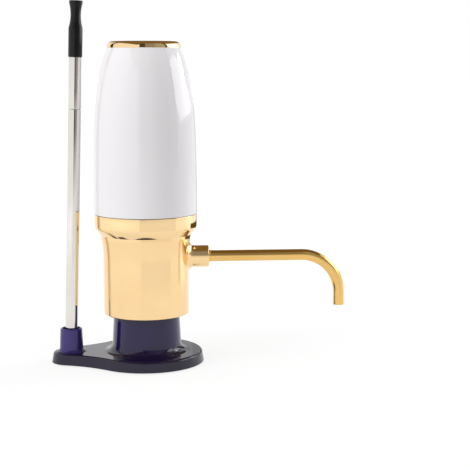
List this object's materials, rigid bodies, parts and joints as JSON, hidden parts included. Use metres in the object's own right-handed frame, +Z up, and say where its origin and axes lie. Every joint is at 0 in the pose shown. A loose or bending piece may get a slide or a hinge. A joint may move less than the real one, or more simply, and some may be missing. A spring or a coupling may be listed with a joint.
{
  "type": "electric wine aerator",
  "caption": "Battery wine aerator and pourer with curved spout, lift-off battery cover and push-button top, on a storage stand with a telescopic dip tube.",
  "frame": {"origin": "on the underside of the stand's rubber pad, on the axis of the stand's post", "axes": "+Z up along the unit's axis, +X along the spout, -X towards the dip tube's socket"},
  "size_m": [0.1745, 0.0678, 0.211],
  "materials": {
    "white_gloss": "gloss",
    "polished_gold": "polished",
    "satin_gold": "satin",
    "purple_gloss": "gloss",
    "polished_steel": "polished",
    "black_silicone": "satin",
    "clear_silicone": "satin",
    "black_rubber": "matte",
    "black_plastic": "matte",
    "grey_plastic": "satin",
    "white_plastic": "satin",
    "plain_steel": "satin",
    "motor_metal": "satin",
    "cell_case": "satin",
    "board_green": "satin",
    "wire_cover": "satin"
  },
  "bodies": {
    "stand": {"stand": "purple_gloss", "tube_socket": "purple_gloss", "stand_pad": "black_rubber"},
    "aerator": {"lower_body": "polished_gold", "collar": "polished_gold", "neck_guide": "black_plastic", "bottle_stopper": "clear_silicone", "dip_tube_nipple": "polished_steel", "flow_block": "grey_plastic", "air_check_valve": "clear_silicone", "air_hose": "clear_silicone", "spout_tube": "satin_gold", "spout_ferrule": "satin_gold", "spout_seal": "black_rubber", "pump_head": "grey_plastic", "valve_plate": "grey_plastic", "pump_diaphragm": "black_rubber", "pump_housing": "grey_plastic", "motor_can": "motor_metal", "motor_end_cap": "black_plastic", "chassis": "black_plastic", "chassis_screws": "plain_steel", "cover_seal": "black_rubber", "battery_holder": "black_plastic", "battery_cells": "cell_case", "lower_contacts": "plain_steel", "upper_contacts": "plain_steel", "lead_wires": "wire_cover", "switch_board": "board_green", "push_switch": "black_plastic"},
    "pump_rotor": {"motor_shaft": "plain_steel", "eccentric": "white_plastic", "drive_pin": "plain_steel"},
    "rocker": {"rocker": "white_plastic"},
    "battery_cover": {"cover_shell": "white_gloss", "cap_ring": "polished_gold", "button_cup": "black_plastic"},
    "power_button": {"power_button": "polished_gold", "button_spring": "plain_steel"},
    "switch_plunger": {"switch_plunger": "white_plastic"},
    "dip_tube": {"outer_tube": "polished_steel"},
    "inner_dip_tube": {"inner_tube": "polished_steel", "tube_sleeve": "polished_steel", "slide_bush": "white_plastic", "tube_adapter": "black_silicone"}
  },
  "joints": [
    {"name": "unit_lift", "type": "slide", "parent": "stand", "child": "aerator", "axis": [0, 0, 1], "range_m": [0, 0.06]},
    {"name": "cover_lift", "type": "slide", "parent": "aerator", "child": "battery_cover", "axis": [0, 0, 1], "range_m": [0, 0.09]},
    {"name": "button_press", "type": "slide", "parent": "battery_cover", "child": "power_button", "axis": [0, 0, -1], "range_m": [0, 0.0012], "stiffness_N_per_m": 1500, "springref_m": -0.001, "deforming": ["button_spring"]},
    {"name": "switch_press", "type": "slide", "parent": "aerator", "child": "switch_plunger", "axis": [0, 0, -1], "range_m": [0, 0.00096]},
    {"name": "pump_spin", "type": "hinge", "parent": "aerator", "child": "pump_rotor", "pos_m": [0, 0, 0.0829], "axis": [0, 0, 1], "continuous": true},
    {"name": "rocker_tilt", "type": "hinge", "parent": "aerator", "child": "rocker", "pos_m": [0, 0, 0.0768], "axis": [0, 1, 0], "range_deg": [-3, 3], "stiffness_Nm_per_rad": 0.02, "deforming": ["pump_diaphragm"]},
    {"name": "tube_lift", "type": "slide", "parent": "stand", "child": "dip_tube", "axis": [0.0314, 0, 0.9995], "range_m": [0, 0.04]},
    {"name": "tube_extend", "type": "slide", "parent": "dip_tube", "child": "inner_dip_tube", "axis": [0.0314, 0, 0.9995], "range_m": [0, 0.13]}
  ],
  "couplings": [
    {"joint": "switch_press", "follows": "button_press", "ratio": 0.8}
  ]
}
